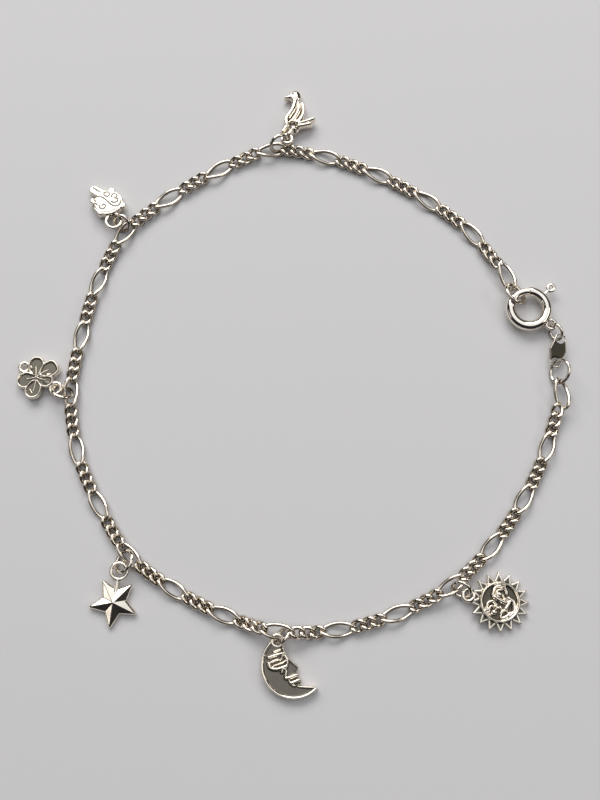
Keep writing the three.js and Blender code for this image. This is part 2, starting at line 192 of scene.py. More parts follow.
def show(name, piece, material, nodes, body="bracelet"):
    points, quads, normals, oxide_and_shade = piece
    mesh = bpy.data.meshes.new(name)
    mesh.from_pydata(((points + SHIFT) * MM).tolist(), [], quads.tolist())
    mesh.shade_smooth()
    mesh.normals_split_custom_set_from_vertices(normals.tolist())
    # The darkening attribute: oxide in the hollows of the charms, painted shade on the wires, a painted dark
    # reflection on the tag.
    mesh.attributes.new("oxide_and_shade", "FLOAT", "POINT").data.foreach_set("value", oxide_and_shade.astype(np.float32))
    mesh.materials.append(material)
    shown = bpy.data.objects.new(name, mesh)
    bpy.context.collection.objects.link(shown)
    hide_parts(*nodes)
    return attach(shown, body)


def wire_frames(path, closed):
    """Directions along and across a path, carried along it without needless twist."""
    ahead, behind = np.roll(path, -1, axis=0), np.roll(path, 1, axis=0)
    if not closed:
        ahead[-1], behind[0] = path[-1], path[0]
    along = unit(ahead - behind)
    seed = np.eye(3)[np.argmin(np.abs(along[0]))]
    across = np.empty_like(path)
    for k in range(len(path)):
        seed = seed - along[k] * (seed @ along[k])
        across[k] = unit(seed)
        seed = across[k]
    if closed:
        last = unit(seed - along[0] * (seed @ along[0]))
        miss = math.atan2(np.cross(across[0], last) @ along[0], across[0] @ last)
        turn = (-miss * np.arange(len(path)) / len(path))[:, None]
        across = across * np.cos(turn) + np.cross(along, across) * np.sin(turn)
    return along, across


def sweep(path, radius, sides=12, closed=True):
    """A round wire along a path, with flat ends where the path is open."""
    along, across = wire_frames(path, closed)
    other = np.cross(along, across)
    angle = np.linspace(0, 2 * math.pi, sides, endpoint=False)[None, :, None]
    outwards = across[:, None] * np.cos(angle) + other[:, None] * np.sin(angle)
    points = path[:, None] + radius * outwards
    rows = np.arange(len(path) if closed else len(path) - 1)[:, None]
    here, there = rows * sides, (rows + 1) % len(path) * sides
    side = np.arange(sides)[None, :]
    after = (side + 1) % sides
    quads = np.stack([here + side, here + after, there + after, there + side], axis=-1).reshape(-1, 4)
    normals = outwards.reshape(-1, 3)
    points = points.reshape(-1, 3)
    if not closed:
        half = np.arange(sides // 2 - 1)
        cap = np.stack([half, half + 1, sides - 2 - half, sides - 1 - half], axis=-1)
        count = len(points)
        quads = np.vstack([quads, cap[:, ::-1] + count, cap + count + sides])
        points = np.vstack([points, points[:sides], points[-sides:]])
        ends = np.repeat(np.stack([-along[0], along[-1]]), sides, axis=0)
        normals = np.vstack([normals, ends])
    return points, quads, normals, np.zeros(len(points))


# Fields: negative inside a solid, zero on its surface. Flat ones take x and y only.
def disc(x, y, middle, radius):
    return np.hypot(x - middle[0], y - middle[1]) - radius


def stroke(x, y, points):
    """Distance from a run of straight stretches, or from a single point."""
    points = np.asarray(points, float)
    nearest = np.hypot(x - points[0][0], y - points[0][1])
    for a, b in zip(points, points[1:]):
        ahead = b - a
        share = np.clip(((x - a[0]) * ahead[0] + (y - a[1]) * ahead[1]) / (ahead @ ahead), 0, 1)
        nearest = np.minimum(nearest, np.hypot(x - a[0] - share * ahead[0], y - a[1] - share * ahead[1]))
    return nearest


def taper(x, y, row):
    """A rounded bar that goes from one radius to another."""
    ax, ay, first, bx, by, last = row
    wide, tall = bx - ax, by - ay
    share = np.clip(((x - ax) * wide + (y - ay) * tall) / (wide**2 + tall**2), 0, 1)
    return np.hypot(x - ax - share * wide, y - ay - share * tall) - first - share * (last - first)


def polygon(x, y, corners):
    """Signed distance to a closed outline."""
    corners = np.asarray(corners, float)
    nearest = stroke(x, y, np.vstack([corners, corners[:1]]))
    inside = np.zeros(np.broadcast(x, y).shape, bool)
    for a, b in zip(corners, np.roll(corners, -1, axis=0)):
        if a[1] != b[1]:
            crosses = (a[1] > y) != (b[1] > y)
            inside ^= crosses & (x < a[0] + (y - a[1]) * (b[0] - a[0]) / (b[1] - a[1]))
    return np.where(inside, -nearest, nearest)


def folded(x, y, count, first):
    """Where a point is within one half of a repeated ray: along it and across it."""
    radius, angle = np.hypot(x, y), np.degrees(np.arctan2(y, x))
    step = 360 / count
    off = np.radians(np.abs((angle - first + step / 2) % step - step / 2))
    return radius * np.cos(off), radius * np.sin(off)


def both(a, b, round_off):
    """What is inside both solids, with the edge between them rounded."""
    outside = np.hypot(np.maximum(a + round_off, 0), np.maximum(b + round_off, 0))
    return np.minimum(np.maximum(a, b), -round_off) + outside


def joined(a, b, melt):
    """Two solids as one, with the corner between them filled a little."""
    share = np.clip(0.5 + 0.5 * (b - a) / melt, 0, 1)
    return b + (a - b) * share - melt * share * (1 - share)


def torus(x, y, z, middle, radius, wire):
    around = np.hypot(x - middle[0], y - middle[1]) - radius
    return np.hypot(around, z - middle[2]) - wire


def sector(x, y, first, last):
    """The wedge between two directions less than half a turn apart."""
    a, b = level(first), level(last)
    return np.maximum(x * a[1] - y * a[0], y * b[0] - x * b[1])


def ease(value, low, high):
    """0 up to low, 1 from high on, and smooth between them."""
    share = np.clip((value - low) / (high - low), 0, 1)
    return share * share * (3 - 2 * share)


def ridge(away, half, sharp=0.7):
    """1 on the middle line of a raised band, and rounded down to 0 at half its width."""
    return np.clip(1 - (away / half) ** 2, 0, 1) ** sharp


def strands(x, y, rows):
    """How high raised strands stand: a row is half width, rise and the points the strand runs through."""
    height = np.zeros(np.broadcast(x, y).shape)
    for half, rise, *points in rows:
        away = stroke(x, y, spline(points) if len(points) > 1 else points)
        height = np.maximum(height, rise * ridge(away, half, 0.6))
    return height


def grooves(x, y, half, paths):
    """1 in the middle of cut lines, 0 away from them."""
    deepest = np.zeros(np.broadcast(x, y).shape)
    for points in paths:
        deepest = np.maximum(deepest, 1 - ease(stroke(x, y, spline(points)), half * 0.4, half))
    return deepest


# A mesh from a field: one point for each cell that the surface passes through, drawn onto the surface.
VOXEL = 0.045
CORNERS = np.array([(i, j, k) for i in (0, 1) for j in (0, 1) for k in (0, 1)])


def sample(values, points):
    base = np.clip(np.floor(points).astype(int), 0, np.array(values.shape) - 2)
    part = points - base
    total = 0.0
    for corner in CORNERS:
        weight = np.prod(np.where(corner, part, 1 - part), axis=1)
        total = total + weight * values[tuple((base + corner).T)]
    return total


def slope(values, points):
    steps = np.eye(3)
    return np.stack([(sample(values, points + s) - sample(values, points - s)) / 2 for s in steps], axis=1)


def cell_points(values, cells):
    """The mean of the places where each cell's edges cross the surface."""
    held = np.stack([values[tuple((cells + corner).T)] for corner in CORNERS], axis=1)
    total, count = np.zeros((len(cells), 3)), np.zeros(len(cells))
    for a, corner in enumerate(CORNERS):
        for axis in np.flatnonzero(corner == 0):
            b = a + (4 >> axis)
            crosses = (held[:, a] < 0) != (held[:, b] < 0)
            gap = np.where(crosses, held[:, a] - held[:, b], 1)
            total += crosses[:, None] * (corner + (held[:, a] / gap)[:, None] * np.eye(3)[axis])
            count += crosses
    return cells + total / count[:, None]


def cell_quads(inside, index):
    """One quad for each grid edge that goes through the surface, facing outwards."""
    quads = []
    for axis in range(3):
        low = np.take(inside, range(inside.shape[axis] - 1), axis)
        high = np.take(inside, range(1, inside.shape[axis]), axis)
        edges = np.argwhere(low != high)
        u, v = np.eye(3, dtype=int)[(axis + 1) % 3], np.eye(3, dtype=int)[(axis + 2) % 3]
        around = [edges - u - v, edges - v, edges, edges - u]
        quad = np.stack([index[tuple(cell.T)] for cell in around], axis=1)
        outward = low[tuple(edges.T)][:, None]
        quads.append(np.where(outward, quad, quad[:, ::-1]))
    return np.vstack(quads)


def surface(field, low, high, oxide_and_shade=None):
    low = np.asarray(low, float) - 2 * VOXEL
    x, y, z = (np.arange(a, b + 3 * VOXEL, VOXEL) for a, b in zip(low, high))
    values = field(x[:, None, None], y[None, :, None], z[None, None, :])
    inside = values < 0
    wide, deep, tall = (size - 1 for size in inside.shape)
    count = sum(inside[i : wide + i, j : deep + j, k : tall + k].astype(int) for i, j, k in CORNERS)
    cells = np.argwhere((count > 0) & (count < 8))
    if inside[[0, -1]].any() or inside[:, [0, -1]].any() or inside[:, :, [0, -1]].any():
        raise ValueError("the box is too small for the solid")
    index = np.zeros(count.shape, int)
    index[tuple(cells.T)] = np.arange(len(cells))
    points = cell_points(values, cells)
    for _ in range(2):
        steep = slope(values, points)
        off = sample(values, points) / np.maximum((steep**2).sum(axis=1), 1e-9)
        points -= np.clip(off[:, None] * steep, -0.6, 0.6)
    normals = unit(slope(values, points))
    points = low + points * VOXEL
    dark = np.zeros(len(points)) if oxide_and_shade is None else oxide_and_shade(points[:, 0], points[:, 1])
    underside = normals[:, 2] <= -0.3
    return points, cell_quads(inside, index), normals, dark * ~underside


# The charms, flat in their own frames with +Y to the loop: each gives, at x and y, how far outside its
# outline a point is, how high its face is there, and how tarnished it is.
def star(x, y):
    tip, notch, edge, height, blunt = 3.1, 1.45, 0.5, 1.08, 0.22
    along, across = folded(x, y, 5, 54)
    inner = notch * level(36)
    normal = unit(np.array([inner[1], tip - inner[0]]))
    reach = tip * normal[0]
    away = along * normal[0] + across * normal[1]
    shrink = 1 - blunt / reach
    corners = [shrink * (notch if k % 2 else tip) * level(54 + 36 * k)[:2] for k in range(10)]
    return polygon(x, y, corners) - blunt, height - (height - edge) * away / reach, 0 * x * y


SUN_FACE = [
    # half width, rise, then points: brow, lid and eye of either side, nose between them, nostril, cheek, lips
    (0.22, 0.3, (0.56, 0.93), (1.05, 0.95), (1.5, 0.76), (1.71, 0.33), (1.71, -0.25)),
    (0.19, 0.28, (1.64, -0.26), (1.35, -0.49), (1.02, -0.6)),
    (0.14, 0.26, (0.54, 0.56), (1.01, 0.56), (1.29, 0.34), (1.37, -0.05)),
    (0.32, 0.3, (0.81, 0.17)),
    (0.29, 0.36, (0.44, 0.66), (0.26, 0.22), (0.12, -0.29), (0.08, -0.64)),
    (0.14, 0.26, (0.79, -0.2), (0.37, -0.53)),
    (0.2, 0.3, (-1.2, 1.33), (-0.68, 1.41), (-0.27, 1.23), (-0.07, 0.82), (-0.32, 0.43), (-0.73, 0.25)),
    (0.17, 0.28, (-1.34, 1.05), (-0.87, 1.05), (-0.59, 0.85), (-0.67, 0.58)),
    (0.36, 0.32, (-1.24, 0.46)),
    (0.14, 0.24, (-1.39, 1.19), (-1.6, 0.78)),
    (0.25, 0.3, (-0.6, -0.15)),
    (0.29, 0.32, (0.6, -0.91), (0.4, -1.38), (-0.18, -1.67), (-0.86, -1.64), (-1.31, -1.35)),
    (0.26, 0.32, (-0.59, -0.75), (-0.14, -0.94), (0.28, -1.07)),
    (0.19, 0.28, (-1.52, -0.35), (-1.07, -0.32), (-0.83, -0.54), (-0.83, -0.84)),
    (0.25, 0.3, (-1.69, -0.59), (-1.39, -0.99), (-0.97, -1.3)),
]


def sun(x, y):
    tip, notch, rays, blunt, rim = 3.45, 2.45, 16, 3.4, 2.12
    ray_floor, face_floor, rim_floor, darkest = 0.42, 0.64, 0.6, 0.92
    along, across = folded(x, y, rays, 180 / rays)
    inner = notch * level(180 / rays)
    normal = unit(np.array([inner[1], tip - inner[0]]))
    radius = np.hypot(x, y)
    outline = both((along - tip) * normal[0] + across * normal[1], radius - blunt, 0.05)
    ray_rim = ridge(outline + 0.1, 0.13)
    band = ridge(np.abs(radius - rim), 0.2, 0.6)
    face = strands(x, y, SUN_FACE) * (radius < rim)
    top = np.where(radius > rim, ray_floor + 0.2 * ray_rim, face_floor + face)
    top = np.maximum(top, rim_floor + 0.4 * band)
    bare = np.maximum(np.maximum(ray_rim, ease(band, 0.1, 0.5)), ease(face, 0.03, 0.12))
    return outline, top, darkest * (1 - bare)


MOON_PROFILE = [
    # the inner edge, a face seen from the side, from the upper horn to the lower
    (0.6, 3.3),
    (0.32, 2.45),
    (0.27, 1.5),
    (0.5, 0.6),
    (0.8, -0.05),
    (0.48, -0.42),
    (0.2, -0.52),
    (0.46, -0.9),
    (0.26, -1.16),
    (0.46, -1.54),
    (0.24, -1.8),
    (-0.12, -1.9),
    (0.6, -2.35),
    (1.45, -2.82),
]
MOON_FACE = [
    # half width, rise, then points: brows, corner of the eye, lids, bridge, nose, horns, nostril, lips, chin
    (0.16, 0.2, (-0.87, 2.5), (-0.13, 2.42)),
    (0.2, 0.26, (-1.67, 2.24), (-0.87, 2.12), (-0.13, 1.95)),
    (0.14, 0.24, (-0.73, 1.41), (-0.35, 1.6), (-0.13, 1.78)),
    (0.16, 0.24, (-1.93, 1.65), (-1.39, 1.67), (-0.85, 1.58)),
    (0.14, 0.26, (-1.6, 1.2), (-0.74, 1.08), (-0.18, 1.05)),
    (0.24, 0.3, (-1.93, 1.65), (-2.01, 1.18), (-1.56, 0.78), (-0.99, 0.61), (-0.36, 0.54)),
    (0.18, 0.26, (0.02, 1.53), (-0.02, 0.88), (-0.31, 0.56)),
    (0.13, 0.24, (0.1, 1.75), (0.2, 1.3), (0.4, 0.6), (0.68, 0.02)),
    (0.14, 0.24, (0.5, 3.1), (0.22, 2.45), (0.14, 1.8)),
    (0.19, 0.24, (-0.1, -1.97), (0.64, -2.45), (1.4, -2.86)),
    (0.18, 0.28, (-1.1, 0.16), (-0.74, 0.44), (-0.57, 0.14), (-0.91, -0.36)),
    (0.24, 0.3, (-0.95, -0.6), (-0.47, -0.74), (0.08, -0.78), (0.38, -0.84)),
    (0.24, 0.3, (-0.67, -1.33), (-0.28, -1.37), (0.2, -1.4), (0.42, -1.42)),
    (0.16, 0.24, (-0.78, -1.05), (-0.76, -1.4), (-0.5, -1.75)),
]


def moon(x, y):
    middle, radius, rim, floor, darkest = (0.4, 0.25), 3.65, 0.26, 0.68, 0.84
    angles = np.radians(np.arange(290, 97, -4))
    outer = np.array(middle) + radius * np.stack([np.cos(angles), np.sin(angles)], axis=1)
    outline = polygon(x, y, np.vstack([outer, spline(MOON_PROFILE, 5)]))
    notch = disc(x, y, (0, CHARMS["moon"]["reach"]), 0.7)
    outline = np.maximum(outline, -notch)
    from_edge = np.maximum(-disc(x, y, middle, radius), 0)
    band = ridge(from_edge - rim / 2, rim)
    face = strands(x, y, MOON_FACE)
    top = floor + np.maximum(0.22 * band, face)
    bare = np.maximum(ease(band, 0.15, 0.5), ease(face, 0.02, 0.1))
    return outline, top, darkest * (1 - bare)


PETALS = [
    # angle, distance of the middle, half length, half width, how square
    (18, 1.42, 1.18, 0.98, 2.2),
    (100, 1.15, 1.0, 0.85, 2.0),
    (152, 1.66, 1.25, 1.02, 2.8),
    (212, 1.42, 1.14, 0.98, 2.2),
    (313, 1.28, 1.06, 0.96, 2.3),
]
VEINS = [
    # half width, rise, then points: a vein for each petal, and a few leaf marks
    (0.09, 0.13, (0.1, 0.05), (0.8, 0.36), (1.5, 0.58)),
    (0.09, 0.13, (0.0, 0.1), (-0.12, 0.6), (-0.22, 1.1)),
    (0.09, 0.13, (-0.1, 0.06), (-0.75, 0.3), (-1.4, 0.72)),
    (0.09, 0.13, (-0.08, -0.08), (-0.6, -0.45), (-1.15, -0.78)),
    (0.09, 0.13, (0.08, -0.08), (0.4, -0.45), (0.72, -0.88)),
    (0.13, 0.16, (1.62, 0.2), (1.8, 0.5)),
    (0.13, 0.16, (-0.95, 0.95), (-1.15, 1.2)),
    (0.12, 0.16, (-0.85, -1.3), (-0.72, -1.05)),
    (0.17, 0.2, (0.0, 0.0)),
]
EYELET = {"at": (-0.37, -2.0), "radius": 0.55, "wire": 0.22}  # the sixth petal, which is open


def flower(x, y):
    heart, floor, darkest = 0.85, 0.64, 0.88
    away = []
    for angle, reach, half, side, square in PETALS:
        along = level(angle)
        u = x * along[0] + y * along[1] - reach
        v = y * along[0] - x * along[1]
        share = (np.abs(u) / half) ** square + (np.abs(v) / side) ** square
        away.append((share ** (1 / square) - 1) * side)
    away = np.sort(np.broadcast_arrays(*away), axis=0)
    outline = joined(away[0], disc(x, y, ORIGIN, heart), 0.1)
    rim = ridge(outline + 0.12, 0.15)
    seam = ridge(away[1] - away[0], 0.2) * ease(np.hypot(x, y), 0.2, 0.6)
    veins = strands(x, y, VEINS)
    top = floor + np.maximum(0.22 * np.maximum(rim, seam), veins)
    bare = np.maximum(ease(np.maximum(rim, seam), 0.15, 0.5), ease(veins, 0.02, 0.08))
    return outline, top, darkest * (1 - bare)


SHELL = [
    # round the shell, from behind the head
    (1.05, -1.35),
    (0.2, -1.66),
    (-0.65, -1.5),
    (-1.4, -0.98),
    (-1.82, -0.1),
    (-1.7, 0.75),
    (-1.1, 1.4),
    (-0.1, 1.68),
    (0.9, 1.48),
    (1.6, 0.9),
    (1.88, 0.0),
    (1.65, -0.8),
]
TURTLE_LIMBS = [
    # x, y, radius to x, y, radius: head and feet
    (0.42, -1.4, 0.6, 1.14, -2.32, 0.6),
    (1.45, -0.72, 0.4, 1.66, -0.85, 0.38),
    (-0.75, -1.3, 0.4, -0.86, -1.5, 0.38),
    (-1.42, 0.85, 0.4, -1.6, 0.98, 0.38),
    (1.15, 0.9, 0.4, 1.3, 1.0, 0.36),
]
SCROLLS = [
    # lines cut in the shell: a long double curve, then curls, and the slot of the mouth
    ((1.38, -0.55), (1.52, -0.9), (1.2, -1.15), (0.66, -1.0), (0.25, -0.5), (-0.11, 0.2), (-0.42, 0.72)),
    ((-0.42, 0.72), (-0.85, 0.92), (-1.28, 0.8), (-1.55, 0.45)),
    ((-0.15, -0.7), (-0.48, -0.9), (-0.4, -1.3), (0.02, -1.38), (0.2, -1.08), (-0.05, -0.78)),
    ((-0.62, -0.55), (-0.9, -0.85), (-1.25, -0.68), (-1.25, -0.35), (-0.95, -0.25)),
    ((-0.95, -0.25), (-1.25, 0.05), (-1.05, 0.36), (-0.68, 0.36), (-0.42, 0.1)),
    ((1.15, 0.15), (1.1, 0.58), (0.75, 0.76), (0.42, 0.52), (0.55, 0.18), (0.8, 0.3)),
    ((1.35, -0.02), (1.5, -0.32), (1.76, -0.1), (1.62, 0.22)),
    ((0.6, -1.72), (0.86, -2.12), (1.16, -2.56)),
]


def turtle(x, y):
    crown, fall, depth, darkest = 1.02, 0.02, 0.035, 0.85
    shell = polygon(x, y, spline(SHELL + SHELL[:1], 5)[:-1])
    outline = shell
    for row in TURTLE_LIMBS:
        outline = joined(outline, taper(x, y, row), 0.2)
    rim_line = 1 - ease(np.abs(shell + 0.26), 0.04, 0.1)
    cut = np.maximum(grooves(x, y, 0.15, SCROLLS), 0.7 * rim_line)
    top = crown - fall * (x**2 + y**2)
    return outline, top - depth * cut, darkest * cut


BIRD_BODY = [
    # x, y, radius to x, y, radius: head, beak, neck, body, rump, wing, two tail feathers, two legs
    (0.95, -2.6, 0.76, 0.85, -2.4, 0.74),
    (1.45, -2.3, 0.34, 2.08, -1.82, 0.1),
    (0.75, -2.0, 0.5, 0.3, -0.7, 0.62),
    (0.25, -0.6, 0.66, 0.35, 1.0, 0.98),
    (0.2, 1.1, 0.95, -0.3, 1.8, 0.72),
    (-0.25, -1.5, 0.42, -0.62, 0.5, 0.55),
    (-0.6, 1.2, 0.42, -2.2, -0.12, 0.26),
    (-0.6, 1.4, 0.42, -2.05, 0.66, 0.28),
    (0.6, 1.8, 0.34, 0.8, 2.9, 0.24),
    (-0.2, 2.0, 0.4, 0.0, 2.95, 0.32),
]
BIRD_RELIEF = [
    # half width, rise, then points: head, breast, two wing feathers, tail feathers, thigh, legs, beak
    (0.82, 0.46, (1.05, -2.65), (0.92, -2.45)),
    (0.44, 0.46, (0.72, -1.65), (0.66, -0.9), (0.82, 0.1), (0.95, 0.95), (0.7, 1.7)),
    (0.31, 0.46, (0.22, -1.65), (-0.08, -0.7), (0.0, 0.3), (0.22, 1.15)),
    (0.33, 0.44, (-0.25, -1.7), (-0.76, -0.75), (-0.72, 0.3), (-0.4, 1.05)),
    (0.28, 0.4, (-0.7, 1.08), (-1.4, 0.56), (-2.2, -0.12)),
    (0.28, 0.4, (-0.75, 1.48), (-1.35, 1.15), (-2.05, 0.68)),
    (0.45, 0.4, (-0.3, 1.95)),
    (0.3, 0.36, (0.62, 2.0), (0.8, 2.85)),
    (0.3, 0.36, (-0.15, 2.4), (0.0, 2.9)),
    (0.3, 0.38, (1.45, -2.3), (1.95, -1.9)),
]
BIRD_EYE = [((1.26, -2.72), (1.34, -2.62))]


def bird(x, y):
    floor, darkest, eye_dark = 0.54, 0.85, 0.9
    outline = taper(x, y, BIRD_BODY[0])
    for row in BIRD_BODY[1:]:
        outline = joined(outline, taper(x, y, row), 0.12)
    raised = strands(x, y, BIRD_RELIEF)
    eye = grooves(x, y, 0.13, BIRD_EYE)
    gaps = darkest * (1 - ease(raised, 0.04, 0.24)) * ease(-outline, 0.08, 0.24)
    return outline, floor + raised - 0.1 * eye, np.maximum(gaps, eye_dark * eye)


CHARM_BOX = {"side": 3.6, "height": 1.3}  # room for the largest charm


def charm_piece(name, flat):
    """The solid of a charm with its loop and the neck between them."""
    size = CHARMS[name]
    loop = (0, size["reach"], LOOP["z"])

    def field(x, y, z):
        outline, top, _ = flat(x, y)
        body = both(outline, np.maximum(z - top, -z), size["round"])
        body = joined(body, torus(x, y, z, loop, size["loop"], LOOP["wire"]), MELT["loop"])
        if size["neck"]:
            stem = stroke(x, y, [(0, size["neck"]), (0, size["reach"] - size["loop"])])
            body = joined(body, np.hypot(stem, z - NECK["z"]) - NECK["radius"], MELT["neck"])
        if name == "flower":
            ring = torus(x, y, z, (*EYELET["at"], LOOP["z"]), EYELET["radius"], EYELET["wire"])
            body = joined(body, ring, MELT["neck"])
        return body

    def oxide_and_shade(x, y):
        outline, _, dark = flat(x, y)
        return dark * (1 - ease(outline, -0.04, 0.02))

    low = (-CHARM_BOX["side"], -CHARM_BOX["side"], 0)
    high = (CHARM_BOX["side"], size["reach"] + size["loop"] + LOOP["wire"], CHARM_BOX["height"])
    return surface(field, low, high, oxide_and_shade)


# Where things are: the frame of a carrier link, of a ring and of a charm.
def station(index):
    along = unit(np.append(ROUTE[index + 1] - ROUTE[index - 1], 0.0))
    return np.append(ROUTE[index], 0.0), along, np.cross(along, UP)


# Painted shade on the wires: how dark their sides get, and how dark the inside of a link gets where the next
# link lies in it.
PAINTED_WIRE_SHADE = {"sides": 0.6, "inside": 0.75}


def painted_side_shade(normals):
    """Where a wire's surface faces sideways or down it is painted darker than its top: painted shade."""
    return PAINTED_WIRE_SHADE["sides"] * (1 - ease(normals[:, 2], 0.2, 0.75))


def ring_piece(middle, radius, wire, towards, tilt):
    """A jump ring bent shut, that leans by tilt about a level line towards a direction."""
    tilt = math.radians(tilt)
    rise = np.cross(UP, towards) * math.cos(tilt) + UP * math.sin(tilt)
    start = SEAM["gap"] / radius / 2
    angle = np.linspace(start, 2 * math.pi - start, RING_MESH["steps"])[:, None] + SEAM["angle"]
    path = middle + radius * (np.cos(angle) * towards + np.sin(angle) * rise)
    points, quads, normals, _ = sweep(path, wire, RING_MESH["sides"], closed=False)
    # Painted shade on the sides of the ring's wire.
    return points, quads, normals, painted_side_shade(normals)


def link_piece(size, middle, along, roll=0.0):
    """A twisted link along a direction, rolled a little about it, with painted shade inside it and on the
    sides of its wire.
    """
    turn = np.linspace(0, 2 * math.pi, LINK_MESH["fine"], endpoint=False)
    cosine, sine = np.cos(turn), np.sin(turn)
    reach = np.sign(cosine) * np.abs(cosine) ** (2 / size["square"])
    side = size["side"] * np.sign(sine) * np.abs(sine) ** (2 / size["square"])
    lean = TWIST * reach + roll
    path = np.stack([size["half"] * reach, side * np.cos(lean), side * np.sin(lean)], axis=1)
    across = unit(np.cross(UP, along))
    frame_axes = np.stack([along, across, np.cross(along, across)], axis=1)
    points, quads, normals, _ = sweep(even(path, LINK_MESH["steps"]), size["wire"], LINK_MESH["sides"])
    # Painted shade on the inside of the link, where the next links lie.
    inwards = -(normals * unit(points * (1, 3, 3))).sum(axis=1)
    inner = PAINTED_WIRE_SHADE["inside"] * ease(inwards, 0.2, 0.9)
    points, quads, normals, inner = carry((points, quads, normals, inner), frame_axes, middle)
    points[:, 2] += max(REST - points[:, 2].min(), 0)
    # Painted shade inside the link and on the sides of its wire.
    return points, quads, normals, np.maximum(inner, painted_side_shade(normals))


def chain_line(steps=60):
    """The chain's whole line, how far along it each point is, and where each long link is on it."""
    line = spline(ROUTE, steps)
    far = np.concatenate([[0], np.cumsum(np.linalg.norm(np.diff(line, axis=0), axis=1))])
    return line, far, far[::steps]


def run_piece(before, after):
    """The links between two carrier links, each given with its height, lying on the table between them."""
    line, far, stops = chain_line()
    start, end = stops[before[0]], stops[after[0]]
    gaps = [PITCH["long"], PITCH["short"], PITCH["short"], PITCH["long"]] * (after[0] - before[0])
    gaps[0] = gaps[-1] = PITCH["carrier"]
    places = start + np.cumsum(gaps)[:-1] * (end - start) / sum(gaps)

    def at(distance):
        x, y = (np.interp(distance, far, line[:, k]) for k in (0, 1))
        low = HEIGHT["run"]
        rise = (before[1] - low) * (1 - ease(distance - start, HEIGHT["near"], HEIGHT["far"]))
        rise += (after[1] - low) * (1 - ease(end - distance, HEIGHT["near"], HEIGHT["far"]))
        return np.array([x, y, low + rise])

    pieces = []
    for k, place in enumerate(places):
        size = LONG if k % 4 == 3 else SHORT
        along = at(place + size["half"] / 2) - at(place - size["half"] / 2)
        yaw = math.radians(rng.uniform(-SWAY["yaw"], SWAY["yaw"]))
        along = unit(along + yaw * np.linalg.norm(along) * np.cross(UP, unit(along)))
        roll = math.radians(rng.uniform(-SWAY["roll"], SWAY["roll"]))
        pieces.append(link_piece(size, at(place), along, roll))
    return merge(pieces)


def charm_place(name, loop_at, faces):
    """Turn and place of a charm whose far edge rests on the table while its loop is held up."""
    size = CHARMS[name]
    lean = math.asin((loop_at[2] - LOOP["z"] - REST) / (size["back"] + size["reach"]))
    c, s = math.cos(lean), math.sin(lean)
    tip_up = np.array([[1, 0, 0], [0, c, -s], [0, s, c]])
    face = level(faces - 90)
    around = np.array([[face[0], -face[1], 0], [face[1], face[0], 0], [0, 0, 1]])
    turn = around @ tip_up
    return turn, loop_at - turn @ np.array([0, size["reach"], LOOP["z"]])


# Materials: polished silver, darkened where the mesh attribute says so: by oxide in the hollows of the
# charms, by painted shade on the wires, and by a painted dark reflection on the tag.
def add_node(tree, kind, **inputs):
    node = tree.nodes.new(kind)
    for name, value in inputs.items():
        node.inputs[name.replace("_", " ")].default_value = value
    return node


def mixed(tree, kind, factor, a, b):
    """A Mix node of colours or numbers; a factor or an end may be a socket or a value."""
    node = tree.nodes.new("ShaderNodeMix")
    node.data_type = kind
    sockets = {"FLOAT": (0, 2, 3, 0), "RGBA": (0, 6, 7, 2)}[kind]
    for socket, value in zip(sockets, (factor, a, b)):
        if isinstance(value, bpy.types.NodeSocket):
            tree.links.new(value, node.inputs[socket])
        else:
            node.inputs[socket].default_value = value
    return node.outputs[sockets[3]]


def ranged(tree, value, low, high):
    node = add_node(tree, "ShaderNodeMapRange", From_Min=0.3, From_Max=0.7, To_Min=low, To_Max=high)
    tree.links.new(value, node.inputs["Value"])
    return node.outputs["Result"]


def silver(name, bright, oxide_and_shade_colour, polish):
    """Bright metal with faint clouding and grain; polish is its lowest and highest roughness."""
    dull, oxide_and_shade_roughness = 0.88, 0.55
    material = bpy.data.materials.new(name)
    material.use_nodes = True
    tree = material.node_tree
    shader = tree.nodes["Principled BSDF"]
    shader.inputs["Metallic"].default_value = 1.0
    place = tree.nodes.new("ShaderNodeTexCoord").outputs["Object"]
    cloud = add_node(tree, "ShaderNodeTexNoise", Scale=900.0, Detail=3.0)
    grain = add_node(tree, "ShaderNodeTexNoise", Scale=9000.0, Detail=2.0)
    for noise in (cloud, grain):
        tree.links.new(place, noise.inputs["Vector"])
    # The darkening attribute mixes in the dark colour and raises roughness: oxide in the charms' hollows,
    # painted shade on the wires, a painted dark reflection on the tag.
    oxide_and_shade = tree.nodes.new("ShaderNodeAttribute")
    oxide_and_shade.attribute_name = "oxide_and_shade"
    dulled = [dull * part for part in bright[:3]] + [1.0]
    clean = mixed(tree, "RGBA", ranged(tree, cloud.outputs["Fac"], 0.0, 1.0), bright, dulled)
    tree.links.new(mixed(tree, "RGBA", oxide_and_shade.outputs["Fac"], clean, oxide_and_shade_colour), shader.inputs["Base Color"])
    rough = ranged(tree, cloud.outputs["Fac"], *polish)
    rough = mixed(tree, "FLOAT", oxide_and_shade.outputs["Fac"], rough, oxide_and_shade_roughness)
    tree.links.new(rough, shader.inputs["Roughness"])
    bump = add_node(tree, "ShaderNodeBump", Strength=0.04, Distance=0.00002)
    tree.links.new(grain.outputs["Fac"], bump.inputs["Height"])
    tree.links.new(bump.outputs["Normal"], shader.inputs["Normal"])
    return material


